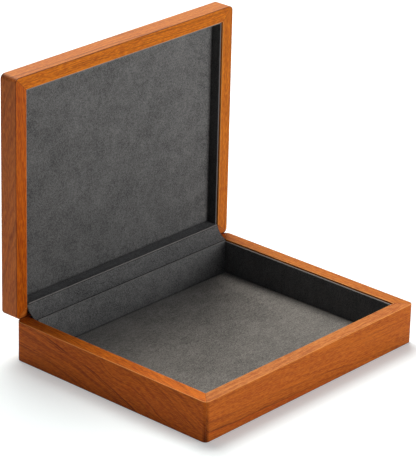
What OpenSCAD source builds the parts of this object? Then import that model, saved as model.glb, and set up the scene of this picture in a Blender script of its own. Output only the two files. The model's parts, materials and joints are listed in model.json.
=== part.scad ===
// Hinged wooden presentation case with suede lining, shown with its lid open.
// X runs along the width, Y to the back, Z up. The origin is the centre of the base's underside.
// Lid pieces are drawn closed, with the lid's rim at Z 0, and lid_place() swings them open.

/* [Case] */
// Width over the rails
case_w = 300; // [260:1:340]
// Depth over the rails, front to back
case_d = 245; // [210:1:280]
// Height of the base
base_h = 41.5; // [36:0.5:60]
// Height of the lid
lid_h = 20.5; // [19:0.5:30]
// Radius of the four upright corners
corner_r = 5; // [3:0.5:9]

/* [Rails] */
// Thickness of the front and side rails
rail_t = 14; // [12:0.5:16]
// Thickness of the rear rails
rear_t = 12; // [11:0.5:13]
// How far the panels are let into the rails
rebate_w = 6; // [4:0.5:7]

/* [Panels] */
// Thickness of the felt under the base
felt_t = 0.8; // [0.6:0.1:1]
// Thickness of the base's bottom panel
bottom_t = 3; // [2.5:0.1:4]
// Thickness of the lid's top panel
top_t = 6; // [4:0.5:7]

/* [Lining] */
// Thickness of the side liners, card and suede together
liner_t = 2; // [1.5:0.1:2.5]
// Thickness of the base's rear liner
rear_liner_t = 1.5; // [1.2:0.1:2]
// Thickness of the lid's rear liner
ledge_liner_t = 0.8; // [0.6:0.1:1.2]
// How far the side liners stop below the rim
liner_drop = 1.7; // [1:0.1:3]
// Thickness of the card boards behind the pads
board_t = 1.5; // [1:0.1:2]
// Thickness of the pads, foam and suede together
pad_t = 1.5; // [1:0.1:3]
// Thickness of the suede strip over the hinges
gusset_t = 0.8; // [0.6:0.1:1]
// How far the open strip sags behind its straight line
gusset_sag = 2; // [1:0.1:2.5]

/* [Hinges] */
// Length of each hinge
hinge_l = 40; // [35:1:50]
// Distance of each hinge's middle from the case's middle
hinge_x = 95; // [80:1:105]
// Thickness of the leaves
leaf_t = 1.3; // [1:0.1:1.5]
// Radius of the knuckles
knuckle_r = 2.4; // [2.2:0.1:2.6]
// Radius of the pins
pin_r = 1; // [0.8:0.1:1.1]
// Radius of the screw shanks
screw_r = 1; // [0.8:0.1:1.1]
// Length of the screws
screw_l = 8; // [7:0.5:8]

/* [Hidden] */
$fn = 64;

wood = "#9a4a22";
ply = "#b98a5a";
suede = "#4a4a4b";
card = "#8c8478";
felt = "#2c2c2e";
brass = "#b8934a";

eps = 0.01; // overshoot of cutting shapes

// Inner faces of the rails
half_w = case_w / 2;
half_d = case_d / 2;
in_x = half_w - rail_t;
in_front = -half_d + rail_t;
in_rear = half_d - rear_t;

// The pins' line, and how the lid stands on it
rim_gap = 0.3; // between the two rims when the lid is shut
pin_in = 0.3; // how far the pins stand inside the rear faces
pin_y = half_d - pin_in;
pin_z = base_h + 0.6;
lid_angle = 90;

// Levels in the base, from its underside, and in the lid, from its rim
board_z = felt_t + bottom_t;
floor_z = board_z + board_t;
liner_top = base_h - liner_drop;
rear_liner_top = base_h - 0.7;
lid_floor = lid_h - top_t;
lid_liner_top = lid_floor - board_t;
lid_pad_z = lid_liner_top - pad_t;

// Gaps around the pads and the felt
pad_gap = 0.2;
felt_gap = 0.3;

// The rear rims are lowered to hold the folded strip, behind a lip at full height
fold_drop = 1.1;
fold_lip = 2;

// The suede strip: its width, and its middle line's ends, arc and centre in (y, z), lid open
gusset_w = 2 * (in_x - liner_t) + 1;
strip_low = [in_rear - rear_liner_t / 2, rear_liner_top + 0.6];
strip_high = [pin_y + base_h + rim_gap - pin_z - 0.5, pin_z + rear_t - pin_in];
strip_run = strip_high - strip_low;
strip_chord = norm(strip_run);
strip_r = strip_chord ^ 2 / (8 * gusset_sag) + gusset_sag / 2;
strip_normal = [strip_run.y, -strip_run.x] / strip_chord;
strip_centre = (strip_low + strip_high) / 2 - (strip_r - gusset_sag) * strip_normal;

// Hinge sizes, with y and z counted from the pin and x from the hinge's middle
rim_drop = pin_z - base_h; // how far the base's rim is below the pin
lid_rim = rim_gap + base_h - pin_z; // the open lid's rim
base_leaf_top = -rim_drop - fold_drop;
lid_leaf_front = lid_rim + fold_drop;
leaf_reach = 11; // from the pin to a leaf's far edge
knuckles = 5;
knuckle_l = hinge_l / knuckles;
knuckle_gap = 0.3; // between neighbouring knuckles
knuckle_play = 0.4; // between a knuckle and the other leaf
pin_play = 0.05; // radial clearance in the lid's knuckles
stop_in = 2.8; // near face of the stop bars, behind the pin
stop_out = 4; // their far face
stop_h = 2.2; // how far they reach above and below the pin
stop_gap = 0.15; // half the gap between the two stop bars
stop_room = 0.4; // between the lid's wood and its stop bar

// Screws: how many in each leaf, where, and the countersunk head
screws = 3;
screw_pitch = 14;
screw_y = 6.8; // from the pin to the screws' line
screw_head_r = 1.9;
screw_head_h = 1;
slot_w = 0.5;
slot_depth = 0.4;

// ---- placing ----

// Swings a lid piece, drawn closed, about the pins to its open place
module lid_place() {
  translate([0, pin_y, pin_z])
    rotate([-lid_angle, 0, 0])
      translate([0, -pin_y, base_h + rim_gap - pin_z])
        children();
}

// Extrudes a (y, z) profile along X, centred
module along_x(length) {
  rotate([90, 0, 90])
    linear_extrude(length, center = true)
      children();
}

// A box from its two corners
module block(low, high) {
  translate(low)
    cube(high - low);
}

// ---- rails ----

// The case's outline with rounded corners
module outline() {
  square([case_w - 2 * corner_r, case_d], center = true);
  square([case_w, case_d - 2 * corner_r], center = true);
  for (sx = [-1, 1], sy = [-1, 1])
    translate([sx * (half_w - corner_r), sy * (half_d - corner_r)])
      circle(corner_r);
}

// Footprints of the mitred rails
module side_print(side) {
  intersection() {
    outline();
    polygon([
      [side * half_w, -half_d], [side * in_x, in_front],
      [side * in_x, in_rear], [side * half_w, half_d]
    ]);
  }
}

module front_print() {
  intersection() {
    outline();
    polygon([[-half_w, -half_d], [half_w, -half_d], [in_x, in_front], [-in_x, in_front]]);
  }
}

module rear_print() {
  intersection() {
    outline();
    polygon([[-half_w, half_d], [-in_x, in_rear], [in_x, in_rear], [half_w, half_d]]);
  }
}

// The recess that a panel of height h sits in, from z
module panel_space(z, h, slack = 0) {
  block(
    [-in_x - rebate_w + slack, in_front - rebate_w + slack, z],
    [in_x + rebate_w - slack, in_rear + rebate_w - slack, z + h]
  );
}

module base_rail() {
  color(wood)
    difference() {
      linear_extrude(base_h)
        children();
      panel_space(-eps, board_z + eps);
    }
}

module lid_rail() {
  color(wood)
    difference() {
      linear_extrude(lid_h)
        children();
      panel_space(lid_floor, top_t + eps);
    }
}

module base_front_rail() {
  base_rail()
    front_print();
}

module base_left_rail() {
  base_rail()
    side_print(-1);
}

module base_right_rail() {
  base_rail()
    side_print(1);
}

module base_rear_rail() {
  difference() {
    base_rail()
      rear_print();
    block(
      [-in_x, in_rear - eps, base_h - fold_drop],
      [in_x, half_d - fold_lip, base_h + eps]
    );
    for (side = [-1, 1])
      translate([side * hinge_x, 0, 0])
        base_mortise();
  }
}

module lid_front_rail() {
  lid_place()
    lid_rail()
      front_print();
}

module lid_left_rail() {
  lid_place()
    lid_rail()
      side_print(-1);
}

module lid_right_rail() {
  lid_place()
    lid_rail()
      side_print(1);
}

module lid_rear_rail() {
  lid_place()
    difference() {
      lid_rail()
        rear_print();
      block([-in_x, in_rear - eps, -eps], [in_x, half_d - fold_lip, fold_drop]);
      for (side = [-1, 1])
        translate([side * hinge_x, 0, 0])
          lid_mortise();
    }
}

// ---- panels, boards and pads ----

module base_bottom_panel() {
  color(ply)
    panel_space(felt_t, bottom_t);
}

module underside_felt() {
  color(felt)
    panel_space(0, felt_t, felt_gap);
}

// A plate inside the liners, from z, with a gap around it
module inner_plate(z, h, gap, rear_liner) {
  block(
    [-in_x + liner_t + gap, in_front + liner_t + gap, z],
    [in_x - liner_t - gap, in_rear - rear_liner - gap, z + h]
  );
}

module floor_board() {
  color(card)
    inner_plate(board_z, board_t, pad_gap, rear_liner_t);
}

module floor_pad() {
  color(suede)
    inner_plate(floor_z, pad_t, pad_gap, rear_liner_t);
}

module lid_top_panel() {
  color(wood)
    lid_place()
      panel_space(lid_floor, top_t);
}

module lid_board() {
  color(card)
    lid_place()
      block([-in_x, in_front, lid_floor - board_t], [in_x, in_rear, lid_floor]);
}

module lid_pad() {
  color(suede)
    lid_place()
      inner_plate(lid_pad_z, pad_t, pad_gap, ledge_liner_t);
}

// ---- liners ----

// Side liner against the left (-1) or right (1) rails, between two heights
module side_liner(side, low, high) {
  color(suede)
    scale([side, 1, 1])
      block([in_x - liner_t, in_front, low], [in_x, in_rear, high]);
}

// Front and rear liners stand between the side liners
module cross_liner(y_low, y_high, low, high) {
  color(suede)
    block([-in_x + liner_t, y_low, low], [in_x - liner_t, y_high, high]);
}

module base_left_liner() {
  side_liner(-1, board_z, liner_top);
}

module base_right_liner() {
  side_liner(1, board_z, liner_top);
}

module base_front_liner() {
  cross_liner(in_front, in_front + liner_t, board_z, liner_top);
}

module base_rear_liner() {
  cross_liner(in_rear - rear_liner_t, in_rear, board_z, rear_liner_top);
}

module lid_left_liner() {
  lid_place()
    side_liner(-1, liner_drop, lid_liner_top);
}

module lid_right_liner() {
  lid_place()
    side_liner(1, liner_drop, lid_liner_top);
}

module lid_front_liner() {
  lid_place()
    cross_liner(in_front, in_front + liner_t, liner_drop, lid_liner_top);
}

module lid_rear_liner() {
  lid_place()
    cross_liner(in_rear - ledge_liner_t, in_rear, gusset_t, lid_liner_top);
}

// ---- the suede strip over the hinges ----

module hinge_gusset() {
  color(suede)
    along_x(gusset_w)
      intersection() {
        translate(strip_centre)
          difference() {
            circle(strip_r + gusset_t / 2, $fn = 180);
            circle(strip_r - gusset_t / 2, $fn = 180);
          }
        // wedge from the arc's centre through the strip's two ends
        polygon([
          strip_centre,
          strip_centre + 2 * (strip_low - strip_centre),
          strip_centre + 2 * (strip_low - strip_centre) + 2 * (strip_high - strip_centre),
          strip_centre + 2 * (strip_high - strip_centre)
        ]);
      }
}

// ---- hinges ----
// Drawn around the pin, lid open

function knuckle_x(i) = -hinge_l / 2 + (i + 0.5) * knuckle_l;
function screw_x(i) = (i - (screws - 1) / 2) * screw_pitch;

module hinge_frame(side) {
  translate([side * hinge_x, pin_y, pin_z])
    children();
}

module rod(r, length) {
  rotate([0, 90, 0])
    cylinder(r = r, h = length, center = true);
}

// A screw along -Z, its head's top at z 0
module screw(slot = true) {
  difference() {
    union() {
      translate([0, 0, -screw_head_h])
        cylinder(r1 = screw_r, r2 = screw_head_r, h = screw_head_h);
      translate([0, 0, -screw_l])
        cylinder(r = screw_r, h = screw_l - screw_head_h + eps);
    }
    if (slot)
      cube([3 * screw_head_r, slot_w, 2 * slot_depth], center = true);
  }
}

// Puts a screw at each of a leaf's three holes
module base_screw_places() {
  for (i = [0:screws - 1])
    translate([screw_x(i), -screw_y, base_leaf_top])
      children();
}

module lid_screw_places() {
  for (i = [0:screws - 1])
    translate([screw_x(i), lid_leaf_front, screw_y])
      rotate([90, 0, 0])
        children();
}

// Room for the other leaf's knuckles
module knuckle_room(first) {
  for (i = [first:2:knuckles - 1])
    translate([knuckle_x(i), 0, 0])
      rod(knuckle_r + knuckle_play, knuckle_l + knuckle_gap);
}

module base_leaf() {
  own_l = knuckle_l - knuckle_gap;
  color(brass)
    difference() {
      union() {
        difference() {
          block(
            [-hinge_l / 2, -leaf_reach, base_leaf_top - leaf_t],
            [hinge_l / 2, 0, base_leaf_top]
          );
          knuckle_room(1);
        }
        for (i = [0:2:knuckles - 1])
          translate([knuckle_x(i), 0, 0]) {
            rod(knuckle_r, own_l);
            // foot down to the leaf, and web back to the stop bar
            block([-own_l / 2, -knuckle_r, base_leaf_top - leaf_t], [own_l / 2, 0, 0]);
            block([-own_l / 2, 0, -stop_h], [own_l / 2, stop_in + eps, -stop_gap]);
          }
        block([-hinge_l / 2, stop_in, -stop_h], [hinge_l / 2, stop_out, -stop_gap]);
      }
      rod(pin_r, hinge_l + 2);
      base_screw_places()
        screw(slot = false);
    }
}

module lid_leaf() {
  own_l = knuckle_l - knuckle_gap;
  color(brass)
    difference() {
      union() {
        difference() {
          block(
            [-hinge_l / 2, lid_leaf_front, knuckle_r / 2],
            [hinge_l / 2, lid_leaf_front + leaf_t, leaf_reach]
          );
          knuckle_room(0);
        }
        for (i = [1:2:knuckles - 1])
          translate([knuckle_x(i), 0, 0]) {
            rod(knuckle_r, own_l);
            block([-own_l / 2, 0, stop_gap], [own_l / 2, stop_in + eps, stop_h]);
          }
        block([-hinge_l / 2, stop_in, stop_gap], [hinge_l / 2, stop_out, stop_h]);
      }
      rod(pin_r + pin_play, hinge_l + 2);
      lid_screw_places()
        screw(slot = false);
    }
}

// What the leaf, its knuckles and its screws take out of the base's rear rail
module base_mortise() {
  translate([0, pin_y, pin_z]) {
    block(
      [-hinge_l / 2, -leaf_reach, base_leaf_top - leaf_t],
      [hinge_l / 2, pin_in + eps, 0]
    );
    base_screw_places()
      screw(slot = false);
  }
}

// The same for the lid's rear rail. The cutters are turned back to the closed lid.
module lid_mortise() {
  near = [-hinge_l / 2, lid_rim - eps, -pin_in - eps];
  translate([0, pin_y, -lid_rim])
    rotate([lid_angle, 0, 0]) {
      block(near, [hinge_l / 2, lid_leaf_front + leaf_t, leaf_reach]);
      block(near, [hinge_l / 2, stop_out + stop_room, knuckle_r + stop_room]);
      lid_screw_places()
        screw(slot = false);
    }
}

module left_base_leaf() {
  hinge_frame(-1)
    base_leaf();
}

module right_base_leaf() {
  hinge_frame(1)
    base_leaf();
}

module left_lid_leaf() {
  hinge_frame(-1)
    lid_leaf();
}

module right_lid_leaf() {
  hinge_frame(1)
    lid_leaf();
}

module hinge_pins() {
  color(brass)
    for (side = [-1, 1])
      hinge_frame(side)
        rod(pin_r, hinge_l);
}

module base_hinge_screws() {
  color(brass)
    for (side = [-1, 1])
      hinge_frame(side)
        base_screw_places()
          screw();
}

module lid_hinge_screws() {
  color(brass)
    for (side = [-1, 1])
      hinge_frame(side)
        lid_screw_places()
          screw();
}

base_front_rail();
base_rear_rail();
base_left_rail();
base_right_rail();
base_bottom_panel();
underside_felt();
floor_board();
floor_pad();
base_front_liner();
base_rear_liner();
base_left_liner();
base_right_liner();
left_base_leaf();
right_base_leaf();
base_hinge_screws();
hinge_pins();
hinge_gusset();
lid_front_rail();
lid_rear_rail();
lid_left_rail();
lid_right_rail();
lid_top_panel();
lid_board();
lid_pad();
lid_front_liner();
lid_rear_liner();
lid_left_liner();
lid_right_liner();
left_lid_leaf();
right_lid_leaf();
lid_hinge_screws();
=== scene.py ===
"""Looks for the hinged display case: stained wood rails, suede lining, brass hinges, studio."""

import json
import math

import bmesh
import bpy
import numpy as np
from mathutils import Matrix, Vector, noise


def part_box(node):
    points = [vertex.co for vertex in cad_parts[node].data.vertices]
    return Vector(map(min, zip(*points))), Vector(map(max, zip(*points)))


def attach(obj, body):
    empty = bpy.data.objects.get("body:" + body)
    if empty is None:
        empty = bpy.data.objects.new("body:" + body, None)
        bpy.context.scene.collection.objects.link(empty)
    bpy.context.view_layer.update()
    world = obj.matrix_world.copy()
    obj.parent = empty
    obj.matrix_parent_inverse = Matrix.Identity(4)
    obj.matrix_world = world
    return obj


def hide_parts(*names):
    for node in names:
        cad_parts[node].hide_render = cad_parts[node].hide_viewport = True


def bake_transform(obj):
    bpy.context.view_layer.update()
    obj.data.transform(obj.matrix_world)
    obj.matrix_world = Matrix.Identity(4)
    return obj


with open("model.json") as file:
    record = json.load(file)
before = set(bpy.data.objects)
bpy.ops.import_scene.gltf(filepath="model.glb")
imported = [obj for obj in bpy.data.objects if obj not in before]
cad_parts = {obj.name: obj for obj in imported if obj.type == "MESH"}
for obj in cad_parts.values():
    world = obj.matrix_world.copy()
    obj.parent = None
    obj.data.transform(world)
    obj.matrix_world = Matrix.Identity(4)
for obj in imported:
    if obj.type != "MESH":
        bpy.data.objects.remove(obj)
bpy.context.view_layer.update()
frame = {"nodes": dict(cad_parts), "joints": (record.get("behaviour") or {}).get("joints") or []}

MM = 0.001


# ---------------------------------------------------------------- places, all from the frame


def low(node):
    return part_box(node)[0]


def high(node):
    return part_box(node)[1]


PIN = Vector(frame["joints"][0]["pos_m"])
HALF_W = high("base_right_rail").x
HALF_D = -low("base_front_rail").y
BASE_H = high("base_front_rail").z
IN_X = high("base_right_liner").x
IN_FRONT = low("base_front_liner").y
IN_REAR = high("base_rear_liner").y
PANEL_X = high("base_bottom_panel").x
PANEL_FRONT = low("base_bottom_panel").y
PANEL_REAR = high("base_bottom_panel").y
BASE_REBATE = high("base_bottom_panel").z
LID_RIM_Y = low("lid_left_rail").y
LID_H = high("lid_left_rail").y - LID_RIM_Y
LID_FLOOR = low("lid_top_panel").y - LID_RIM_Y
HINGE_HIGH = high("right_base_leaf")

# From the lid's own space (x, y, w), where the lid is shut and w runs from its rim to its top,
# to the row frame, where it stands open.
LID_SPACE = Matrix(
    ((1, 0, 0, 0), (0, 0, 1, LID_RIM_Y), (0, -1, 0, PIN.y + PIN.z), (0, 0, 0, 1))
)


def lid_box(node):
    """A lid node's lowest and highest corners in the lid's own space."""
    inverse = LID_SPACE.inverted()
    a, b = (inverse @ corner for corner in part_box(node))
    return Vector(map(min, a, b)), Vector(map(max, a, b))


# ---------------------------------------------------------------- node graphs


class Graph:
    """A material's node tree, with short calls for the nodes that the materials here use."""

    def __init__(self, name):
        self.material = bpy.data.materials.new(name)
        self.material.use_nodes = True
        self.tree = self.material.node_tree
        self.shader = self.tree.nodes["Principled BSDF"]

    def node(self, kind, inputs=(), **settings):
        made = self.tree.nodes.new(kind)
        for key, value in settings.items():
            setattr(made, key, value)
        for key, value in dict(inputs).items():
            self.put(made.inputs[key], value)
        return made

    def put(self, socket, value):
        if isinstance(value, bpy.types.NodeSocket):
            self.tree.links.new(value, socket)
        else:
            socket.default_value = value

    def attribute(self, name, output="Fac"):
        return self.node("ShaderNodeAttribute", attribute_name=name).outputs[output]

    def stretch(self, vector, scale, offset=(0, 0, 0)):
        inputs = {"Vector": vector, "Scale": scale, "Location": offset}
        return self.node("ShaderNodeMapping", inputs).outputs["Vector"]

    def noise(self, vector, scale, detail=2.0, roughness=0.5, distortion=0.0):
        inputs = {
            "Vector": vector,
            "Scale": scale,
            "Detail": detail,
            "Roughness": roughness,
            "Distortion": distortion,
        }
        return self.node("ShaderNodeTexNoise", inputs).outputs["Fac"]

    def sum(self, operation, a, b=0.0, clamp=False):
        made = self.node("ShaderNodeMath", {0: a, 1: b}, operation=operation)
        made.use_clamp = clamp
        return made.outputs[0]

    def vector_sum(self, operation, a, b):
        made = self.node("ShaderNodeVectorMath", {0: a, 1: b}, operation=operation)
        return made.outputs[0]

    def spread(self, value, a, b, to_a=0.0, to_b=1.0, smooth=False):
        kind = "SMOOTHSTEP" if smooth else "LINEAR"
        inputs = {"Value": value, 1: a, 2: b, 3: to_a, 4: to_b}
        made = self.node("ShaderNodeMapRange", inputs, interpolation_type=kind)
        return made.outputs["Result"]

    def mix(self, share, a, b, blend="MIX"):
        made = self.node("ShaderNodeMix", data_type="RGBA", blend_type=blend)
        made.clamp_factor = True
        self.put(made.inputs[0], share)
        self.put(made.inputs[6], a)
        self.put(made.inputs[7], b)
        return made.outputs[2]

    def bump(self, height, distance, strength=1.0, normal=None):
        inputs = {"Height": height, "Distance": distance, "Strength": strength}
        if normal is not None:
            inputs["Normal"] = normal
        return self.node("ShaderNodeBump", inputs).outputs["Normal"]

    def shade(self, **sockets):
        for key, value in sockets.items():
            self.put(self.shader.inputs[key.replace("_", " ")], value)
        return self.material


def rgb(red, green, blue):
    return (red, green, blue, 1.0)


# ---------------------------------------------------------------- materials

ARRIS = "arris"


def growth_level(g, place, figure, knot, seeded):
    """The level of each point among the growth lines."""
    bow = g.sum("MULTIPLY", figure[1], g.sum("MULTIPLY", place[0], place[0]))
    level = g.sum("ADD", place[1], g.sum("MULTIPLY", figure[0], place[0]))
    level = g.sum("ADD", level, bow)
    level = g.sum("ADD", level, g.sum("MULTIPLY", figure[2], place[2]))
    from_knot_along = g.sum("MULTIPLY", g.sum("SUBTRACT", place[0], knot[0]), 0.55)
    from_knot_across = g.sum("SUBTRACT", place[1], knot[1])
    from_knot = g.sum(
        "ADD",
        g.sum("MULTIPLY", from_knot_along, from_knot_along),
        g.sum("MULTIPLY", from_knot_across, from_knot_across),
    )
    swirl = g.spread(g.sum("SQRT", from_knot), 0.0, 0.016, 0.009, 0.0, smooth=True)
    level = g.sum("ADD", level, g.sum("MULTIPLY", swirl, knot[2]))
    slow = g.noise(g.stretch(seeded, (7, 42, 42)), 1.0, 2.0)
    quick = g.noise(g.stretch(seeded, (60, 240, 240)), 1.0, 2.0)
    level = g.sum("ADD", level, g.sum("MULTIPLY", g.sum("SUBTRACT", slow, 0.5), 0.016))
    level = g.sum("ADD", level, g.sum("MULTIPLY", g.sum("SUBTRACT", quick, 0.5), 0.0016))
    return level


def late_wood(g, level, cut, seeded):
    """Late wood, soft on the young side of each growth line and sharp on the other."""
    years = g.sum("MULTIPLY", level, cut[1])
    uneven = g.node(
        "ShaderNodeTexNoise",
        {"W": g.sum("MULTIPLY", years, 0.63), "Detail": 1.0},
        noise_dimensions="1D",
    ).outputs["Fac"]
    years = g.sum("ADD", years, g.sum("MULTIPLY", uneven, 1.7))
    year = g.sum("FRACT", years)
    late = g.sum("MULTIPLY", g.spread(year, 0.35, 0.9, smooth=True), g.spread(year, 1.0, 0.93))
    weight = g.node(
        "ShaderNodeTexNoise",
        {"W": g.sum("MULTIPLY", g.sum("FLOOR", years), 3.71), "Detail": 0.0},
        noise_dimensions="1D",
    ).outputs["Fac"]
    late = g.sum("MULTIPLY", late, g.spread(weight, 0.35, 0.7, 0.2, 1.0))
    fade = g.noise(g.stretch(seeded, (22, 60, 60)), 1.0, 2.0)
    late = g.sum("MULTIPLY", late, g.spread(fade, 0.32, 0.62, 0.3, 1.0))
    late = g.sum("MULTIPLY", late, cut[2])
    return late


def dark_streak(g, level, place, cut):
    """One darker streak, and the redder band below it."""
    below = g.sum("SUBTRACT", cut[0], level)
    streak = g.sum(
        "MULTIPLY",
        g.spread(below, -0.0005, 0.0, smooth=True),
        g.spread(below, 0.0008, 0.0001),
    )
    band = g.sum("MULTIPLY", g.spread(below, 0.0, 0.001), g.spread(below, 0.007, 0.002))
    streak_fade = g.spread(place[0], 0.02, -0.04, smooth=True)
    streak = g.sum("MULTIPLY", streak, streak_fade)
    return streak, band


def fine_grain(g, level, place, seeded):
    """Streaks, clouds, fibres, flecks and pores, each finer than the growth lines."""
    fibres = g.noise(g.stretch(seeded, (14, 950, 950)), 1.0, 3.0, 0.62)
    levelled = g.node(
        "ShaderNodeCombineXYZ",
        {
            "X": g.sum("MULTIPLY", place[0], 9.0),
            "Y": g.sum("MULTIPLY", level, 260.0),
            "Z": g.sum("MULTIPLY", place[2], 60.0),
        },
    ).outputs[0]
    streaks = g.noise(levelled, 1.0, 3.0, 0.6)
    clouds = g.noise(g.stretch(seeded, (13, 34, 34)), 1.0, 2.0)
    flecks = g.noise(g.stretch(seeded, (170, 900, 900)), 1.0, 2.0, 0.55)
    pores = g.noise(g.stretch(seeded, (120, 2800, 2800)), 1.0, 1.0)
    pores = g.spread(pores, 0.63, 0.72)
    return streaks, clouds, fibres, flecks, pores


def wood_material():
    """Stained cherry: late-wood lines, streaks, fibres and pores, with painted highlights and shade
    on its arrises.
    Mesh attributes say how each board was cut. grain is a point's place in its board (along,
    across, deep); figure is the slope, bow and depth share of its growth lines; cut is the level
    of one dark streak, the lines' number per metre and their strength; knot is a swirl's place
    (along, across) and size. The board's tint multiplies the wood's colour, partly its own tone
    and partly painted light and shade; the pale veil is a painted sheen; arris is 1 on an edge
    given a painted highlight and -1 on one given painted shade; and the darkening attribute adds
    darker end grain, dark mitres and painted shade where the two rear rims meet."""
    g = Graph("stained_wood")
    grain = g.attribute("grain", "Vector")
    place = g.node("ShaderNodeSeparateXYZ", {"Vector": grain}).outputs
    figure = g.node("ShaderNodeSeparateXYZ", {"Vector": g.attribute("figure", "Vector")}).outputs
    cut = g.node("ShaderNodeSeparateXYZ", {"Vector": g.attribute("cut", "Vector")}).outputs
    knot = g.node("ShaderNodeSeparateXYZ", {"Vector": g.attribute("knot", "Vector")}).outputs
    seeded = g.vector_sum("ADD", grain, g.attribute("seed", "Vector"))
    arris = g.attribute(ARRIS)
    level = growth_level(g, place, figure, knot, seeded)
    late = late_wood(g, level, cut, seeded)
    streak, band = dark_streak(g, level, place, cut)
    streaks, clouds, fibres, flecks, pores = fine_grain(g, level, place, seeded)

    colour = g.mix(g.spread(streaks, 0.385, 0.595), rgb(0.68, 0.185, 0.016), rgb(0.43, 0.092, 0.007))
    colour = g.mix(g.spread(clouds, 0.35, 0.7, 0.0, 0.6), colour, rgb(0.50, 0.100, 0.008))
    colour = g.mix(g.spread(fibres, 0.40, 0.66, 0.0, 0.6), colour, rgb(0.32, 0.055, 0.005))
    colour = g.mix(g.spread(flecks, 0.40, 0.64, 0.0, 0.6), colour, rgb(0.76, 0.235, 0.026))
    colour = g.mix(g.sum("MULTIPLY", late, 0.85), colour, rgb(0.13, 0.020, 0.004))
    colour = g.mix(g.sum("MULTIPLY", band, 0.3), colour, rgb(0.56, 0.080, 0.008))
    colour = g.mix(g.sum("MULTIPLY", streak, 0.7), colour, rgb(0.09, 0.014, 0.003))
    colour = g.mix(g.sum("MULTIPLY", pores, 0.5), colour, rgb(0.12, 0.020, 0.005))
    # each board's tint: partly its own tone, partly painted light and shade
    colour = g.mix(1.0, colour, g.attribute("tint_and_light", "Color"), "MULTIPLY")
    # a pale veil on some boards' sides: painted sheen, the lacquer's reflection of the room
    colour = g.mix(g.attribute("painted_sheen"), colour, rgb(0.50, 0.40, 0.34))
    # arrises marked above 0 turn paler orange: a painted highlight where the edge catches the light
    painted_highlight = g.sum("MULTIPLY", g.spread(arris, 0.0, 1.0), g.spread(clouds, 0.3, 0.6, 0.45, 0.8))
    colour = g.mix(painted_highlight, colour, rgb(0.95, 0.44, 0.13))
    # arrises marked below 0 turn dark as painted shade; the other darkening adds darker end grain,
    # dark mitres and painted shade where the rear rims meet
    soak_and_shade = g.spread(arris, 0.0, -1.0, 0.0, 0.8)
    soak_and_shade = g.sum("MAXIMUM", soak_and_shade, g.attribute("soak_and_shade"))
    colour = g.mix(soak_and_shade, colour, rgb(0.075, 0.012, 0.003))

    height = g.sum("SUBTRACT", g.sum("MULTIPLY", fibres, 0.6), g.sum("MULTIPLY", pores, 0.8))
    height = g.sum("SUBTRACT", height, g.sum("MULTIPLY", late, 0.3))
    return g.shade(
        Base_Color=colour,
        Roughness=g.spread(fibres, 0.2, 0.8, 0.38, 0.52),
        Normal=g.bump(height, 0.00006, 0.6),
        Coat_Weight=0.05,
        Coat_Roughness=0.32,
        Specular_IOR_Level=0.09,
    )


def suede_material(name, base, pale, sheen=0.2):
    """Microfibre suede: a mottled nap with soft brushed patches. The nap attribute multiplies its
    colour with painted light and shade at each point, and marked edges are paler."""
    g = Graph(name)
    place = g.node("ShaderNodeTexCoord").outputs["Object"]
    edge = g.attribute("arris")
    mottle = g.noise(place, 760.0, 3.0, 0.65)
    nap = g.noise(place, 1500.0, 2.0, 0.6)
    patches = g.noise(place, 30.0, 3.0, 0.5, 0.6)
    brushed = g.noise(g.stretch(place, (60, 190, 60)), 1.0, 2.0, 0.5, 1.2)
    light = g.spread(mottle, 0.3, 0.7, -0.75, 0.75)
    light = g.sum("ADD", light, g.spread(nap, 0.3, 0.7, -0.75, 0.75))
    light = g.sum("ADD", light, g.spread(patches, 0.3, 0.7, -0.2, 0.2))
    light = g.sum("ADD", light, g.spread(brushed, 0.3, 0.7, -0.2, 0.2))
    colour = g.mix(g.spread(light, -1.1, 1.1), base, pale)
    # painted light and shade, from the nap attribute
    colour = g.mix(1.0, colour, g.attribute("nap", "Color"), "MULTIPLY")
    # marked edges paler: partly the stretched suede's own tone, partly a painted highlight where the
    # edge catches the light
    colour = g.mix(g.sum("MULTIPLY", edge, 0.5), colour, rgb(0.32, 0.30, 0.29))
    height = g.sum("ADD", mottle, g.sum("MULTIPLY", nap, 0.5))
    return g.shade(
        Base_Color=colour,
        Roughness=g.spread(nap, 0.2, 0.8, 0.84, 1.0),
        Normal=g.bump(height, 0.00022, 0.9),
        Sheen_Weight=sheen,
        Sheen_Roughness=0.45,
        Sheen_Tint=rgb(0.6, 0.6, 0.62),
        Specular_IOR_Level=0.12,
    )


def felt_material():
    g = Graph("felt")
    place = g.node("ShaderNodeTexCoord").outputs["Object"]
    fibres = g.noise(place, 1500.0, 4.0, 0.7, 1.5)
    clumps = g.noise(place, 160.0, 3.0)
    colour = g.mix(fibres, rgb(0.008, 0.008, 0.009), rgb(0.040, 0.040, 0.043))
    colour = g.mix(g.spread(clumps, 0.35, 0.7, 0.0, 0.35), colour, rgb(0.012, 0.012, 0.013))
    return g.shade(
        Base_Color=colour,
        Roughness=1.0,
        Normal=g.bump(fibres, 0.0003, 0.9),
        Sheen_Weight=0.4,
        Specular_IOR_Level=0.1,
    )


def brass_material():
    """Satin brass, drawn lengthwise, a little tarnished."""
    g = Graph("brass")
    place = g.node("ShaderNodeTexCoord").outputs["Object"]
    drawn = g.noise(g.stretch(place, (60, 2600, 2600)), 1.0, 2.0, 0.6)
    tarnish = g.noise(place, 90.0, 4.0, 0.6)
    colour = g.mix(
        g.spread(tarnish, 0.4, 0.75), rgb(0.72, 0.50, 0.20), rgb(0.46, 0.27, 0.09)
    )
    return g.shade(
        Base_Color=colour,
        Metallic=1.0,
        Roughness=g.spread(drawn, 0.2, 0.8, 0.22, 0.42),
        Normal=g.bump(drawn, 0.00002, 0.5),
    )


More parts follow.
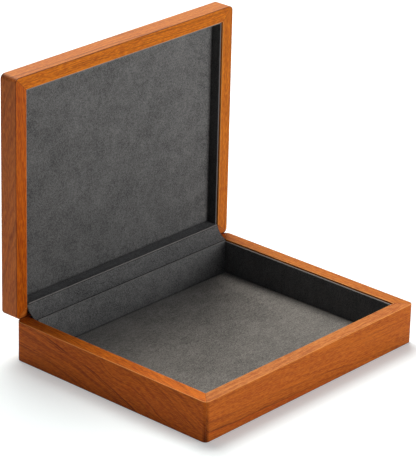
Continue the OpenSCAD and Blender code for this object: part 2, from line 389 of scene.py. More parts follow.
def plywood_material():
    g = Graph("plywood")
    place = g.node("ShaderNodeTexCoord").outputs["Object"]
    figure = g.noise(g.stretch(place, (6, 120, 120)), 1.0, 4.0, 0.6, 0.6)
    colour = g.mix(figure, rgb(0.56, 0.38, 0.20), rgb(0.36, 0.21, 0.10))
    return g.shade(Base_Color=colour, Roughness=0.7, Normal=g.bump(figure, 0.0001, 0.5))


def card_material():
    g = Graph("card")
    place = g.node("ShaderNodeTexCoord").outputs["Object"]
    pulp = g.noise(place, 900.0, 5.0, 0.7)
    colour = g.mix(pulp, rgb(0.20, 0.18, 0.15), rgb(0.36, 0.33, 0.28))
    return g.shade(Base_Color=colour, Roughness=0.9, Normal=g.bump(pulp, 0.0001, 0.5))


WOOD = wood_material()
SUEDE = suede_material("suede", rgb(0.036, 0.037, 0.038), rgb(0.213, 0.213, 0.214), 0.35)
# the floor's suede: the lid's suede a touch browner, a lit copy with painted warm light bounced off
# the wood
WARM_LIT_SUEDE = suede_material(
    "suede_warm_lit", rgb(0.037, 0.036, 0.034), rgb(0.216, 0.205, 0.190), 0.35
)
FELT = felt_material()
BRASS = brass_material()
PLYWOOD = plywood_material()
CARD = card_material()

# ---------------------------------------------------------------- mesh helpers


def make_object(name, bm, material, space=None):
    """A new object from a bmesh, in the row frame."""
    if space is not None:
        bm.transform(space)
    bmesh.ops.recalc_face_normals(bm, faces=bm.faces)
    mesh = bpy.data.meshes.new(name)
    bm.to_mesh(mesh)
    bm.free()
    mesh.materials.append(material)
    obj = bpy.data.objects.new(name, mesh)
    bpy.context.scene.collection.objects.link(obj)
    return obj


def smooth(obj, angle=35):
    obj.data.polygons.foreach_set("use_smooth", [True] * len(obj.data.polygons))
    obj.data.set_sharp_from_angle(angle=math.radians(angle))


def settle(obj):
    """Applies the object's modifiers to its mesh."""
    graph = bpy.context.evaluated_depsgraph_get()
    mesh = bpy.data.meshes.new_from_object(obj.evaluated_get(graph))
    obj.modifiers.clear()
    old = obj.data
    obj.data = mesh
    bpy.data.meshes.remove(old)


def box_mesh(bm, corner_a, corner_b):
    size = corner_b - corner_a
    made = bmesh.ops.create_cube(bm, size=1)
    place = Matrix.Translation((corner_a + corner_b) / 2) @ Matrix.Diagonal((*size, 1))
    bmesh.ops.transform(bm, matrix=place, verts=made["verts"])


def carve(obj, boxes):
    """Cuts boxes, each a pair of corners, out of the object, one after the other."""
    for corner_a, corner_b in boxes:
        bm = bmesh.new()
        box_mesh(bm, Vector(corner_a), Vector(corner_b))
        cutter = make_object("cutter", bm, WOOD)
        cut = obj.modifiers.new("cut", "BOOLEAN")
        cut.operation = "DIFFERENCE"
        cut.solver = "EXACT"
        cut.object = cutter
        settle(obj)
        bpy.data.objects.remove(cutter)


def round_edges(obj, chosen, radius, segments=4, mark=1.0):
    """Rounds the edges that chosen(edge) picks, and marks the new faces as arris: the wood lightens
    faces marked above 0 as a painted highlight and darkens those below 0 as painted shade.
    """
    bm = bmesh.new()
    bm.from_mesh(obj.data)
    layer = bm.faces.layers.float.get(ARRIS) or bm.faces.layers.float.new(ARRIS)
    edges = [e for e in bm.edges if chosen(e)]
    made = bmesh.ops.bevel(
        bm,
        geom=edges,
        offset=radius,
        segments=segments,
        profile=0.5,
        affect="EDGES",
        clamp_overlap=False,
    )
    for face in made["faces"]:
        face[layer] = mark
    bm.to_mesh(obj.data)
    bm.free()


def attribute(obj, name, kind, values):
    """Writes one value, or one per vertex, as a mesh attribute."""
    layer = obj.data.attributes.new(name, kind, "POINT")
    width = 3 if kind == "FLOAT_VECTOR" else 1
    filled = np.broadcast_to(np.array(values, np.float32), (len(obj.data.vertices), width))
    layer.data.foreach_set("vector" if width == 3 else "value", filled.ravel())


def set_grain(obj, origin, along, across, board):
    """Writes how the board was cut. along runs with its fibres and across is up its outer face."""
    along, across = Vector(along).normalized(), Vector(across).normalized()
    axes = np.array((along, across, along.cross(across)), float)
    points = np.array([v.co for v in obj.data.vertices], float) - np.array(origin, float)
    attribute(obj, "grain", "FLOAT_VECTOR", points @ axes.T)
    for name in ("figure", "cut", "knot", "seed"):
        attribute(obj, name, "FLOAT_VECTOR", board[name])


def set_finish(obj, k, rim, board):
    """Writes the rail's finish: one tint on its rim and one on its other faces, each partly the
    wood's own tone and partly painted light and shade; a pale veil on the other faces, which is a
    painted sheen; darker end grain in the rounded corners; dark mitres; and painted shade where
    the two rear rims meet."""
    tint_and_light, painted_sheen, soak_and_shade = [], [], []
    joints = list(mitres(k))
    for vert in obj.data.vertices:
        p = vert.co
        along, out = (p.x, -p.y) if k == FRONT else (p.y, p.x) if k == RIGHT else (0, 0)
        if k in (REAR, LEFT):
            along, out = (p.x, p.y) if k == REAR else (p.y, -p.x)
        half_along, half_out = (HALF_W, HALF_D) if k in (FRONT, REAR) else (HALF_D, HALF_W)
        on_rim = close(p.z, rim)
        turned = 1.7 * (abs(along) - half_along + CORNER_R) / CORNER_R
        below_arris = abs(p.z - rim) > 1.5 * RIM_ARRIS
        rounded = below_arris and half_out - out < 0.32 * CORNER_R
        # painted shade along the rear rim, in the crevice where lid and base meet
        painted_joint_shade = on_rim and p.y > HALF_D - JOINT_SHADE_BAND / 2
        mitred = on_rim and min(from_mitre(p, c, run) for c, run, _ in joints) < 1.5 * GLUE_LINE
        tint_and_light.append(board["rim"] if on_rim else board["tint_and_light"])
        painted_sheen.append([0.0 if on_rim else board["painted_sheen"]])
        end_grain = END_GRAIN * min(1.0, max(0.0, turned)) * rounded
        soak_and_shade.append([max(end_grain, float(painted_joint_shade), MITRE_STAIN * mitred)])
    attribute(obj, "tint_and_light", "FLOAT_VECTOR", tint_and_light)
    attribute(obj, "painted_sheen", "FLOAT", painted_sheen)
    attribute(obj, "soak_and_shade", "FLOAT", soak_and_shade)


def split_at(obj, place, normal):
    """Adds a line of edges around the object where that plane cuts it."""
    bm = bmesh.new()
    bm.from_mesh(obj.data)
    geometry = bm.verts[:] + bm.edges[:] + bm.faces[:]
    bmesh.ops.bisect_plane(bm, geom=geometry, plane_co=place, plane_no=normal, dist=1e-7)
    bm.to_mesh(obj.data)
    bm.free()


def mitres(k):
    """The rail's two mitres: a corner, the mitre's run inwards and the way along into the rail."""
    outer, inner = case_corners()
    ways = ((1, 0), (0, 1), (-1, 0), (0, -1))
    for corner, sign in ((k, 1), ((k + 1) % 4, -1)):
        run = (inner[corner] - outer[corner]).normalized()
        yield outer[corner], run, Vector(ways[k]) * sign


def from_mitre(p, corner, run):
    offset = p.xy - corner
    return abs(offset.x * run.y - offset.y * run.x)


# ---------------------------------------------------------------- rails

CORNER_R = 5 * MM
RIM_ARRIS = 0.5 * MM
FAR_ARRIS = 0.8 * MM
INNER_ARRIS = 0.45 * MM
REAR_ARRIS = 0.06 * MM
GLUE_LINE = 0.05 * MM
MITRE_DARK = 0.45 * MM
ARC_STEPS = 10
FOLD_DROP = 1.1 * MM
FOLD_LIP = 1.5 * MM
LEAF_ROOM = 0.4 * MM
STOP_REACH = 1.9 * MM
# width of the band of painted shade along the rear rims, where lid and base meet
JOINT_SHADE_BAND = 1.6 * MM
END_GRAIN = 0.8
# mark for the far arrises: painted shade along them
FAR_EDGE_SHADE = -0.7
MITRE_STAIN = 0.6


def close(a, b):
    return abs(a - b) < 1e-6


def case_corners():
    """Outer and inner corners of the frame, counter-clockwise from the front left."""
    outer = [(-HALF_W, -HALF_D), (HALF_W, -HALF_D), (HALF_W, HALF_D), (-HALF_W, HALF_D)]
    inner = [(-IN_X, IN_FRONT), (IN_X, IN_FRONT), (IN_X, IN_REAR), (-IN_X, IN_REAR)]
    return [Vector(p) for p in outer], [Vector(p) for p in inner]


def rail_outline(k):
    """The footprint of rail k (0 front, 1 right, 2 rear, 3 left): outer points, inner points."""
    outer, inner = case_corners()
    facing = math.radians((270, 0, 90, 180)[k])

    def arc_to_mitre(corner, sign):
        tip = outer[corner]
        centre = Vector(
            (
                math.copysign(abs(tip.x) - CORNER_R, tip.x),
                math.copysign(abs(tip.y) - CORNER_R, tip.y),
            )
        )
        toward = (inner[corner] - tip).normalized()
        back = (tip - centre).dot(toward)
        reach = (tip - centre).length_squared - CORNER_R**2
        meet = tip + toward * (-back - math.sqrt(back * back - reach)) - centre
        swing = meet.angle(Vector((math.cos(facing), math.sin(facing))))
        angles = [facing + sign * swing * i / ARC_STEPS for i in range(ARC_STEPS + 1)]
        return [centre + CORNER_R * Vector((math.cos(a), math.sin(a))) for a in angles]

    start = list(reversed(arc_to_mitre(k, -1)))
    end = arc_to_mitre((k + 1) % 4, 1)
    return start + end, [inner[(k + 1) % 4], inner[k]]


def rail(name, k, height, rebate, edge):
    """One mitred rail, upright in its own space with its rim where rebate isn't.
    rebate is (low, high): the heights between which the panel is let in. edge is the mark of
    its rim's outer arris: above 0 a painted highlight, below 0 painted shade."""
    outer, inner = rail_outline(k)
    rim, far = (height, 0.0) if close(rebate[0], 0) else (0.0, height)
    bm = bmesh.new()
    ring = [bm.verts.new((p.x, p.y, 0)) for p in outer + inner]
    face = bm.faces.new(ring)
    lifted = bmesh.ops.extrude_face_region(bm, geom=[face])
    moved = [v for v in lifted["geom"] if isinstance(v, bmesh.types.BMVert)]
    bmesh.ops.translate(bm, verts=moved, vec=(0, 0, height))
    obj = make_object(name, bm, WOOD)
    spill = MM
    a = -spill if close(rebate[0], 0) else rebate[0]
    b = rebate[1] if close(rebate[0], 0) else rebate[1] + spill
    carve(obj, [((-PANEL_X, PANEL_FRONT, a), (PANEL_X, PANEL_REAR, b))])

    keys = {(round(p.x, 6), round(p.y, 6)) for p in outer}

    def on_outside(e, z):
        return all(
            close(v.co.z, z) and (round(v.co.x, 6), round(v.co.y, 6)) in keys for v in e.verts
        )

    def inner_rim(e):
        return all(close(v.co.z, rim) and on_inner(v.co) for v in e.verts)

    def on_inner(p):
        return (
            close(p.y, IN_FRONT),
            close(p.x, IN_X),
            close(p.y, IN_REAR),
            close(p.x, -IN_X),
        )[k]

    def panel_edge(e):
        line = ((PANEL_FRONT, 1), (PANEL_X, 0), (PANEL_REAR, 1), (-PANEL_X, 0))[k]
        return all(close(v.co.z, far) and close(v.co[line[1]], line[0]) for v in e.verts)

    arris = REAR_ARRIS if k == REAR else RIM_ARRIS
    # the rim's outer arris takes the board's edge mark; the far arrises get painted shade; the inner
    # rim's and the panel's rounded edges get a painted highlight
    round_edges(obj, lambda e: on_outside(e, rim), arris, mark=edge)
    round_edges(obj, lambda e: on_outside(e, far), FAR_ARRIS, mark=FAR_EDGE_SHADE)
    round_edges(obj, inner_rim, INNER_ARRIS, 3)
    round_edges(obj, panel_edge, 0.35 * MM, 2)
    open_mitres(obj, k)
    # an edge loop that bounds the painted shade band along the rear rims
    if k != FRONT:
        split_at(obj, (0, HALF_D - JOINT_SHADE_BAND, 0), (0, 1, 0))
    return obj


def open_mitres(obj, k):
    """Draws both ends of the rail back by half a glue line, and marks off a strip beside it."""
    for corner, run, along in mitres(k):
        for v in obj.data.vertices:
            if from_mitre(v.co, corner, run) < 2e-5:
                v.co.xy += along * GLUE_LINE
        place = corner + along * (GLUE_LINE + MITRE_DARK)
        split_at(obj, (*place, 0), (run.y, -run.x, 0))


def finish_wood(obj, body, node):
    weight = obj.modifiers.new("weight", "WEIGHTED_NORMAL")
    weight.keep_sharp = True
    smooth(obj, 32)
    settle(obj)
    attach(obj, body)
    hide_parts(node)


FRONT, RIGHT, REAR, LEFT = range(4)
SIDES = {"front": FRONT, "right": RIGHT, "rear": REAR, "left": LEFT}


def hinge_pockets_base():
    """The fold's rebate and the hinge mortises in the base's rear rail."""
    floor = BASE_H - FOLD_DROP
    cuts = [((-IN_X, IN_REAR - MM, floor), (IN_X, HALF_D - FOLD_LIP, BASE_H + MM))]
    for leaf in ("left_base_leaf", "right_base_leaf"):
        a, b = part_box(leaf)
        cuts.append(((a.x, a.y, a.z), (b.x, HALF_D + MM, BASE_H + MM)))
    return cuts


def hinge_pockets_lid():
    """The same in the lid's rear rail, in the lid's own space."""
    cuts = [((-IN_X, IN_REAR - MM, -MM), (IN_X, HALF_D - FOLD_LIP, FOLD_DROP))]
    for leaf in ("left_lid_leaf", "right_lid_leaf"):
        a, b = lid_box(leaf)
        barrel = b.y - PIN.y + LEAF_ROOM
        plate = b.z - STOP_REACH
        cuts.append(((a.x, a.y, -MM), (b.x, HALF_D + MM, plate)))
        cuts.append(((a.x, PIN.y - barrel, -MM), (b.x, HALF_D + MM, b.z + LEAF_ROOM)))
    return cuts


NO_STREAK = 9.0
NO_KNOT = (9.0, 9.0, 0.0)


def board(
    figure, lines, strength, seed, tint_and_light, rim, edge, painted_sheen=0.0, streak=NO_STREAK, knot=NO_KNOT
):
    """How one board was cut and finished: figure is its growth lines' slope, bow and depth share,
    lines is how many of them there are to a metre, its two tints colour its sides and its rim,
    partly with its own tone and partly with painted light, shade and sheen, a pale veil on its
    sides is a painted sheen, and edge is 1 where its rim's outer arris gets a painted highlight,
    -1 where it gets painted shade."""
    return {
        "figure": figure,
        "cut": (streak, lines, strength),
        "knot": knot,
        "seed": (seed, 0.37 * seed, 0.0),
        "tint_and_light": tint_and_light,
        "rim": rim,
        "edge": edge,
        "painted_sheen": painted_sheen,
    }


EVEN = (1, 1, 1)

# Each board's two tints are set to how the light falls on its sides and its rim: partly the boards'
# own tones, partly painted light, shade and sheen. The edge mark gives the rim's outer arris a
# painted highlight (above 0) or painted shade (below 0), and the pale veil on the lid's front and
# left sides is a painted sheen.
BOARDS = {
    "base_front": board(
        (0.060, 0.02, 1.4), 118, 0.4, 1.3, (0.83, 0.76, 0.5), (0.93, 1.14, 2.5), 0.6, streak=-0.0190
    ),
    "base_left": board(
        (-0.33, 0.80, 1.3), 135, 0.9, 2.9, (0.92, 0.75, 0.3), (1.02, 0.9, 0.3), 1.0,
        knot=(-0.008, 0.008, 1.0),
    ),
    "base_right": board((0.04, 0.10, 1.6), 130, 0.7, 4.2, EVEN, (0.9, 1.02, 1.3), -1.0),
    "base_rear": board((-0.05, 0.25, 1.5), 120, 0.8, 5.1, EVEN, EVEN, -1.0),
    "lid_front": board(
        (0.015, 0.02, 2.0), 150, 0.9, 6.7, (0.94, 1.07, 1.2), (1.25, 1.28, 0.2), -0.8, 0.1
    ),
    "lid_left": board(
        (-0.30, 0.3, 2.4), 60, 0.5, 7.9, (0.93, 0.88, 0.9), (0.94, 0.72, 0.1), -0.8, 0.05
    ),
    "lid_right": board(
        (0.02, 0.05, 2.0), 140, 0.6, 8.4, EVEN, (1.15, 1.20, 0.4), -1.0
    ),
    "lid_rear": board((0.03, 0.06, 2.0), 130, 0.6, 9.8, EVEN, EVEN, -1.0),
    "lid_top": board((0.02, 0.9, 2.0), 95, 0.8, 11.3, EVEN, EVEN, 1.0),
}


def make_rails():
    for side, k in SIDES.items():
        along = (1, 0, 0) if k in (FRONT, REAR) else (0, 1, 0)
        middle = Vector(((0, HALF_W, 0, -HALF_W)[k], (-HALF_D, 0, HALF_D, 0)[k], BASE_H / 2))
        cut = BOARDS[f"base_{side}"]
        base = rail(f"{side}_rail_of_base", k, BASE_H, (0.0, BASE_REBATE), cut["edge"])
        if k == REAR:
            carve(base, hinge_pockets_base())
        set_grain(base, middle, along, (0, 0, 1), cut)
        set_finish(base, k, BASE_H, cut)
        finish_wood(base, "base", f"base_{side}_rail")

        cut = BOARDS[f"lid_{side}"]
        lid = rail(f"{side}_rail_of_lid", k, LID_H, (LID_FLOOR, LID_H), cut["edge"])
        if k == REAR:
            carve(lid, hinge_pockets_lid())
        middle.z = LID_H / 2
        set_grain(lid, middle, along, (0, 0, 1), cut)
        set_finish(lid, k, 0.0, cut)
        lid.data.transform(LID_SPACE)
        finish_wood(lid, "lid", f"lid_{side}_rail")


def make_top_panel():
    """The lid's top panel, flush with its rails, with a fine V where they meet."""
    a, b = lid_box("lid_top_panel")
    bm = bmesh.new()
    gap = Vector((0.12, 0.12, 0)) * MM
    box_mesh(bm, a + gap, b - gap)
    obj = make_object("top_panel_of_lid", bm, WOOD)
    round_edges(obj, lambda e: all(close(v.co.z, b.z) for v in e.verts), 0.45 * MM, 3)
    set_grain(obj, (0, 0, b.z), (1, 0, 0), (0, 1, 0), BOARDS["lid_top"])
    attribute(obj, "tint_and_light", "FLOAT_VECTOR", EVEN)
    obj.data.transform(LID_SPACE)
    finish_wood(obj, "lid", "lid_top_panel")


# ---------------------------------------------------------------- lining


def stops(a, b, step, radius):
    """Grid lines from a to b, close together in the rounded ends."""
    near = [0.0, 0.1, 0.3, 0.62, 1.0]
    ends = [a + radius * t for t in near]
    count = max(1, round((b - a - 2 * radius) / step))
    middle = np.linspace(a + radius, b - radius, count + 1)[1:-1]
    return ends + list(middle) + [b - radius * t for t in reversed(near)]


def soft_box(name, corner_a, corner_b, step, radius, shape=None, space=None):
    """A closed soft block with rounded edges, its surface a fine grid.
    shape(point, normal) moves each point of the finished surface."""
    corner_a, corner_b = Vector(corner_a), Vector(corner_b)
    lines = [stops(corner_a[i], corner_b[i], step, radius) for i in range(3)]
    bm = bmesh.new()
    seen = {}

    def vertex(p):
        key = tuple(round(c, 8) for c in p)
        if key not in seen:
            seen[key] = bm.verts.new(key)
        return seen[key]

    for axis in range(3):
        u, v = (axis + 1) % 3, (axis + 2) % 3
        for level in (corner_a[axis], corner_b[axis]):
            for i in range(len(lines[u]) - 1):
                for j in range(len(lines[v]) - 1):
                    loop = []
                    for du, dv in ((0, 0), (1, 0), (1, 1), (0, 1)):
                        p = [0.0, 0.0, 0.0]
                        p[axis], p[u], p[v] = level, lines[u][i + du], lines[v][j + dv]
                        loop.append(vertex(p))
                    bm.faces.new(loop)
    inner_a = corner_a + Vector((radius,) * 3)
    inner_b = corner_b - Vector((radius,) * 3)
    for vert in bm.verts:
        core = Vector(
            min(max(vert.co[i], inner_a[i]), inner_b[i]) for i in range(3)
        )
        out = vert.co - core
        if out.length > 1e-9:
            normal = out.normalized()
            vert.co = core + normal * radius
            if shape is not None:
                vert.co = shape(vert.co.copy(), normal)
    obj = make_object(name, bm, SUEDE, space)
    smooth(obj, 60)
    return obj


def set_painted_light(obj, shade, space=None):
    """Writes the suede's painted light and shade, as shade(point) gives it in the object's own
    space.
    """
    back = (space or Matrix.Identity(4)).inverted()
    values = [[shade(back @ v.co)] for v in obj.data.vertices]
    attribute(obj, "nap", "FLOAT", values)


def ripple(p, size, seed):
    """Slow random height, about -1 to 1, that changes over the given size."""
    return noise.noise(Vector(p) / size + Vector((seed, seed * 1.7, seed * 0.3)))


CROWN = 0.25 * MM
PAD_TUCK = 0.35 * MM
PAD_HELD = 2.5 * MM
PAD_CAP = 0.3 * MM
PAD_FRAMES = 14
# low enough that PAD_CAP, a guard, isn't reached: the swelling shown is the simulation's own
PAD_PRESSURE = 0.1


def blow_out(obj, free, space=None):
    """Swells the cover by cloth simulation where free(point) says that it isn't held."""
    back = (space or Matrix.Identity(4)).inverted()
    rest = [v.co.copy() for v in obj.data.vertices]
    held = obj.vertex_groups.new(name="held")
    held.add([i for i, p in enumerate(rest) if not free(back @ p)], 1.0, "REPLACE")
    cloth = obj.modifiers.new("cover", "CLOTH")
    cloth.settings.quality = 6
    cloth.settings.mass = 0.1
    cloth.settings.tension_stiffness = 20
    cloth.settings.compression_stiffness = 20
    cloth.settings.bending_stiffness = 0.5
    cloth.settings.use_pressure = True
    cloth.settings.uniform_pressure_force = PAD_PRESSURE
    cloth.settings.vertex_group_mass = "held"
    cloth.settings.effector_weights.gravity = 0
    cloth.point_cache.frame_end = PAD_FRAMES
    for frame_number in range(1, PAD_FRAMES + 1):
        bpy.context.scene.frame_set(frame_number)
    settle(obj)
    bpy.context.scene.frame_set(1)
    for vert, start in zip(obj.data.vertices, rest):
        moved = vert.co - start
        if moved.length > PAD_CAP:
            vert.co = start + moved.normalized() * PAD_CAP
    obj.vertex_groups.clear()


def pad(name, node, body, face, space, box, seed, shade):
    """A thin foam pad in suede: it swells a little between its edges, which are drawn down and carry
    a painted shade line.
    """
    a, b = box
    edge = 9 * MM

    def from_edge(p):
        return min(p.x - a.x, b.x - p.x, p.y - a.y, b.y - p.y)

    def swell(p, normal):
        inward = min(1.0, max(0.0, from_edge(p)) / edge)
        crown = (1 - (1 - inward) ** 3) * CROWN - PAD_TUCK
        drift = ripple((p.x, p.y, 0), 34 * MM, seed) * 0.16 * MM * inward
        fine = ripple((p.x, p.y, 0), 5 * MM, seed + 9) * 0.035 * MM
        if normal.z * face > 0.5:
            p.z += face * (crown + drift + fine)
        return p

    def free(p):
        return (p.z - (a.z + b.z) / 2) * face > 0 and from_edge(p) > PAD_HELD

    # painted shade in the crease along the pad's edge, where it meets the liners
    def shaded_edges(p):
        return shade(p) * (0.4 if from_edge(p) < 0.8 * MM else 1.0)

    obj = soft_box(name, a, b, 2.4 * MM, 0.7 * MM, swell, space)
    blow_out(obj, free, space)
    set_painted_light(obj, shaded_edges, space)
    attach(obj, body)
    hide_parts(node)
    return obj


def liner(name, node, body, box, rim, space, seed, shade):
    """A suede-covered card liner. rim is the height of its showing edge, which wavers a little."""
    a, b = box

    def waver(p, normal):
        near = max(0.0, 1 - abs(p.z - rim) / (3 * MM))
        run = p.x if b.x - a.x > b.y - a.y else p.y
        p.z += near * ripple((run, 0, 0), 26 * MM, seed) * 0.12 * MM
        return p

    thickness = min(b.x - a.x, b.y - a.y)
    obj = soft_box(name, a, b, 3.0 * MM, 0.46 * thickness, waver, space)
    mark_rim(obj, space, rim)
    set_painted_light(obj, lambda p: shade)
    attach(obj, body)
    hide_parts(node)
    return obj


def mark_rim(obj, space, rim):
    """Marks the faces of the liner's showing edge, which the suede shows paler: partly the folded
    suede's own stretched tone, partly a painted highlight where the edge catches the light.
    """
    back = (space or Matrix.Identity(4)).inverted()
    values = [
        1.0 if abs((back @ face.center).z - rim) < 0.35 * MM else 0.0
        for face in obj.data.polygons
    ]
    layer = obj.data.attributes.new(ARRIS, "FLOAT", "FACE")
    layer.data.foreach_set("value", values)


def sweep(name, outline, x_from, x_to, columns, space=None):
    """A closed suede body along X. outline(x) gives its section there, as a ring of (y, z)."""
    bm = bmesh.new()
    rings = []
    for i in range(columns + 1):
        x = x_from + (x_to - x_from) * i / columns
        rings.append([bm.verts.new((x, *p)) for p in outline(x)])
    count = len(rings[0])
    for left, right in zip(rings, rings[1:]):
        for j in range(count):
            k = (j + 1) % count
            bm.faces.new((left[j], left[k], right[k], right[j]))
    bm.faces.new(rings[0])
    bm.faces.new(list(reversed(rings[-1])))
    obj = make_object(name, bm, SUEDE, space)
    smooth(obj, 60)
    return obj


BEAD_R = 0.72 * MM


def ledge_liner():
    """The lid's rear liner, whose front edge is rolled over a cord of card: the bright ridge."""
    a, b = lid_box("lid_rear_liner")
    heart = Vector(((a.y + b.y) / 2 - 0.1 * MM, 0.15 * MM))
    neck = heart.y + 0.9 * BEAD_R
    deep = [neck + (b.z - neck) * i / 8 for i in range(9)]

    def outline(x):
        drift = ripple((x, 0, 0), 22 * MM, 61.0) * 0.08 * MM
        bead = [math.radians(t) for t in range(125, 425, 20)]
        ring = [(a.y + drift * 0.5, w) for w in reversed(deep)]
        ring += [
            (heart.x + drift + BEAD_R * math.cos(t), heart.y + BEAD_R * math.sin(t)) for t in bead
        ]
        return ring + [(b.y, w) for w in deep]

    obj = sweep("rear_liner_of_lid", outline, a.x, b.x, 134, LID_SPACE)
    # the bead's front faces are marked pale: a painted highlight along the ridge
    mark_rim(obj, LID_SPACE, heart.y - 0.6 * BEAD_R)
    # the ledge a little darker: painted shade under the open lid's rail
    set_painted_light(obj, lambda p: 0.9)
    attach(obj, "lid")
    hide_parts("lid_rear_liner")


def make_lining():
    # the right liners face away from the lights and are darkened: painted shade
    liner_shades = {"front": 1.0, "right": 0.70, "rear": 1.0, "left": 1.0}
    lid_liner_shades = {"front": 1.0, "right": 0.38, "left": 1.0}
    for seed, side in enumerate(SIDES):
        node = f"base_{side}_liner"
        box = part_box(node)
        liner(f"{side}_liner_of_base", node, "base", box, box[1].z, None, 3.0 + seed, liner_shades[side])
        if side in lid_liner_shades:
            node = f"lid_{side}_liner"
            box = lid_box(node)
            nap = lid_liner_shades[side]
            liner(f"{side}_liner_of_lid", node, "lid", box, box[0].z, LID_SPACE, 13.0 + seed, nap)
    ledge_liner()

    # painted light on the lid pad: brighter to the right and towards the open lid's top
    def lid_shade(p):
        return 1.01 + 0.11 * p.x / IN_X - 0.12 * p.y / HALF_D

    # painted light on the floor pad: brighter towards the rear and a little towards the left
    def floor_shade(p):
        return 1.58 - 0.08 * p.x / IN_X + 0.27 * p.y / HALF_D

    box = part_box("floor_pad")
    floor = pad("pad_of_floor", "floor_pad", "base", 1, None, box, 21.0, floor_shade)
    floor.data.materials[0] = WARM_LIT_SUEDE
    box = lid_box("lid_pad")
    pad("pad_of_lid", "lid_pad", "lid", -1, LID_SPACE, box, 27.0, lid_shade)


GUSSET_THICK = 0.8 * MM
GUSSET_SAG = 2 * MM
GUSSET_HEM = 0.5 * MM
# width of the band at each end of the strip that is darkened as painted shade, round which its rows
# are packed
GUSSET_SHADE_BAND = 1.0 * MM


def ledge_underside():
    return low("lid_rear_liner").z


def gusset_arc():
    """The open strip's middle line in (y, z): centre, radius, first and last angle.
    It runs on past the node's two ends by a hem, under the base's liner and the lid's ridge."""
    foot = Vector((IN_REAR, high("base_rear_liner").z - 0.5 * MM))
    head = Vector((LID_RIM_Y + 0.7 * MM, ledge_underside() - 0.3 * MM))
    run = head - foot
    radius = run.length**2 / (8 * GUSSET_SAG) + GUSSET_SAG / 2
    across = Vector((run.y, -run.x)).normalized()
    centre = (foot + head) / 2 - across * (radius - GUSSET_SAG)
    first, last = (math.atan2(*reversed(p - centre)) for p in (foot, head))
    turn = math.copysign(GUSSET_HEM / radius, last - first)
    return centre, radius, first - turn, last + turn


def make_gusset():
    """The suede strip over the hinges: a thin sheet from the base's rear liner to the lid's."""
    centre, radius, first, last = gusset_arc()
    columns = 134
    shade_band = GUSSET_SHADE_BAND / (abs(last - first) * radius)
    ends = [0.0, 0.5 * shade_band, shade_band, 1.6 * shade_band]
    middle = list(np.linspace(2.4 * shade_band, 1 - 2.4 * shade_band, 15))
    rows = ends + middle + [1 - t for t in reversed(ends)]

    def point(x, t, side):
        angle = first + (last - first) * t
        slack = math.sin(math.pi * t)
        wave = ripple((x, t * 0.02, 0), 17 * MM, 41.0) * 0.30 * MM * slack
        wave += ripple((x, t * 0.02, 0), 5 * MM, 43.0) * 0.05 * MM * slack
        r = radius + side * GUSSET_THICK / 2 + wave
        return centre.x + r * math.cos(angle), centre.y + r * math.sin(angle)

    def outline(x):
        return [point(x, t, 1) for t in rows] + [point(x, t, -1) for t in reversed(rows)]

    # the rows at both ends dark: painted shade in the crease at the base's liner and under the ridge
    def shade(p):
        angle = math.atan2(p.z - centre.y, p.y - centre.x)
        t = (angle - first) / (last - first)
        from_end = min(t, 1 - t)
        return 0.25 if from_end < 1.3 * shade_band else 1.0

    end = IN_X - 0.4 * MM
    obj = sweep("gusset_of_hinge", outline, -end, end, columns)
    set_painted_light(obj, shade)
    foot, head = (0.0, *point(0.0, 0.0, 0)), (0.0, *point(0.0, 1.0, 0))
    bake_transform(obj)
    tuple(foot)
    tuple(head)
    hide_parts("hinge_gusset")
    return obj


TAB_THICK = 0.35 * MM


def make_tabs():
    """The gusset's ends, turned under and glued flat on the rear rims beside the hinges; their dark
    suede is painted shade for the hollow behind the strip's ends.
    """
    inside = HINGE_HIGH.x + 1.5 * MM
    outside = IN_X - 0.1 * MM
    near, far = IN_REAR + 0.2 * MM, HALF_D - FOLD_LIP - 0.1 * MM
    floors = {
        "base": (None, BASE_H - FOLD_DROP, BASE_H - FOLD_DROP + TAB_THICK),
        "lid": (LID_SPACE, FOLD_DROP - TAB_THICK, FOLD_DROP),
    }
    for body, (space, bottom, top) in floors.items():
        for side, a, b in (("left", -outside, -inside), ("right", inside, outside)):
            box = (a, near, bottom), (b, far, top)
            obj = soft_box(f"{side}_shade_tab_on_{body}", *box, 2 * MM, 0.15 * MM, None, space)
            # darkened to 0.3: painted shade
            set_painted_light(obj, lambda p: 0.3)
            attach(obj, body)


def make_felt():
    a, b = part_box("underside_felt")
    lift = 0.08 * MM

    def fuzz(p, normal):
        p.z += 0.03 * MM * ripple((p.x, p.y, 0), 6 * MM, 51.0)
        return p

    start = a + Vector((0, 0, lift))
    obj = soft_box("felt_under_base", start, b, 5 * MM, 0.25 * MM, fuzz)
    obj.data.materials[0] = FELT
    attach(obj, "base")
    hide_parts("underside_felt")


def dress_cad_nodes():
    """Materials for the CAD nodes that stay as they are."""
    for name, node in frame["nodes"].items():
        if node.hide_render:
            continue
        material = {
            "base_bottom_panel": PLYWOOD,
            "floor_board": CARD,
            "lid_board": CARD,
        }.get(name, BRASS)
        node.data.materials.clear()
        node.data.materials.append(material)


# ---------------------------------------------------------------- studio


def make_camera():
    """A long lens, at the photograph's distance and angle."""
    place = Vector((-1.8250, -1.6084, 1.1863))
    yaw, pitch, roll = -0.8440, 0.4101, 0.0247
    ahead = Vector(
        (-math.sin(yaw) * math.cos(pitch), math.cos(yaw) * math.cos(pitch), -math.sin(pitch))
    )
    right = Vector((math.cos(yaw), math.sin(yaw), 0))
    up = right.cross(ahead)
    side = math.cos(roll) * right + math.sin(roll) * up
    top = -math.sin(roll) * right + math.cos(roll) * up
    data = bpy.data.cameras.new("camera")
    data.lens = 219.7
    data.sensor_width = 36
    data.clip_end = 20
    camera = bpy.data.objects.new("camera", data)
    turn = Matrix((side, top, -ahead)).transposed().to_4x4()
    camera.matrix_world = Matrix.Translation(place) @ turn
    bpy.context.scene.collection.objects.link(camera)
    bpy.context.scene.camera = camera


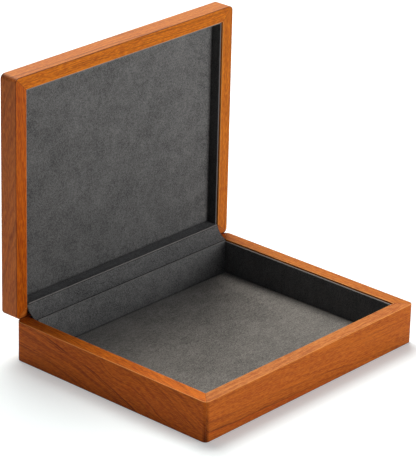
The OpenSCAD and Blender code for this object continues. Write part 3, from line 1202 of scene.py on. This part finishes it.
def area_light(name, place, target, size, power, colour=(1, 1, 1)):
    data = bpy.data.lights.new(name, "AREA")
    data.shape = "RECTANGLE"
    data.size, data.size_y = size
    data.energy = power
    data.color = colour
    light = bpy.data.objects.new(name, data)
    light.location = place
    light.rotation_mode = "QUATERNION"
    light.rotation_quaternion = (Vector(target) - Vector(place)).to_track_quat("-Z", "Y")
    light.visible_camera = False
    bpy.context.scene.collection.objects.link(light)


PAPER = rgb(0.92, 0.92, 0.92)
PAPER_SEEN = rgb(0.72, 0.79, 0.815)
PAPER_GLOW = 0.33


def make_floor():
    """White paper under the case. The camera alone sees it cooler and faintly glowing, which keeps
    the shadows as pale and grey as the photograph's; the case is lit by the plain paper."""
    bm = bmesh.new()
    bmesh.ops.create_circle(bm, cap_ends=True, segments=96, radius=1.6)
    g = Graph("floor")
    seen = g.node("ShaderNodeLightPath").outputs["Is Camera Ray"]
    g.shade(
        Base_Color=g.mix(seen, PAPER, PAPER_SEEN),
        Roughness=1.0,
        Specular_IOR_Level=0.0,
        Emission_Color=rgb(1, 1, 1),
        Emission_Strength=g.sum("MULTIPLY", seen, PAPER_GLOW),
    )
    floor = make_object("floor", bm, g.material)
    floor.location.z = -0.0004
    floor.visible_glossy = False


def make_world():
    """A dim room round a pale backdrop: the camera and the lacquer's gloss see the backdrop."""
    scene = bpy.context.scene
    world = bpy.data.worlds.new("studio")
    world.use_nodes = True
    scene.world = world
    tree = world.node_tree
    path = tree.nodes.new("ShaderNodeLightPath").outputs
    colour = rgb(0.094, 0.1, 0.108)
    for seen, shown in (("Is Glossy Ray", rgb(0.5, 0.5, 0.5)), ("Is Camera Ray", rgb(1, 1, 1))):
        mix = tree.nodes.new("ShaderNodeMix")
        mix.data_type = "RGBA"
        mix.inputs[7].default_value = shown
        tree.links.new(path[seen], mix.inputs[0])
        if isinstance(colour, tuple):
            mix.inputs[6].default_value = colour
        else:
            tree.links.new(colour, mix.inputs[6])
        colour = mix.outputs[2]
    tree.links.new(colour, tree.nodes["Background"].inputs["Color"])
    scene.view_settings.view_transform = "Standard"


def toward(azimuth, elevation, distance):
    """A place seen from the origin in that direction; azimuth turns from +X to +Y."""
    turn, rise = math.radians(azimuth), math.radians(elevation)
    flat = distance * math.cos(rise)
    return flat * math.cos(turn), flat * math.sin(turn), distance * math.sin(rise)


def make_lights():
    middle = (0.0, 0.0, 0.05)
    area_light("key_behind", toward(62, 63, 3.0), middle, (1.7, 1.7), 118, (1.0, 0.965, 0.91))
    area_light("fill_front", toward(294, 9, 2.2), middle, (1.4, 0.5), 24, (1.0, 0.985, 0.96))


make_rails()
make_top_panel()
make_lining()
make_gusset()
make_tabs()
make_felt()
dress_cad_nodes()
make_camera()
make_floor()
make_world()
make_lights()
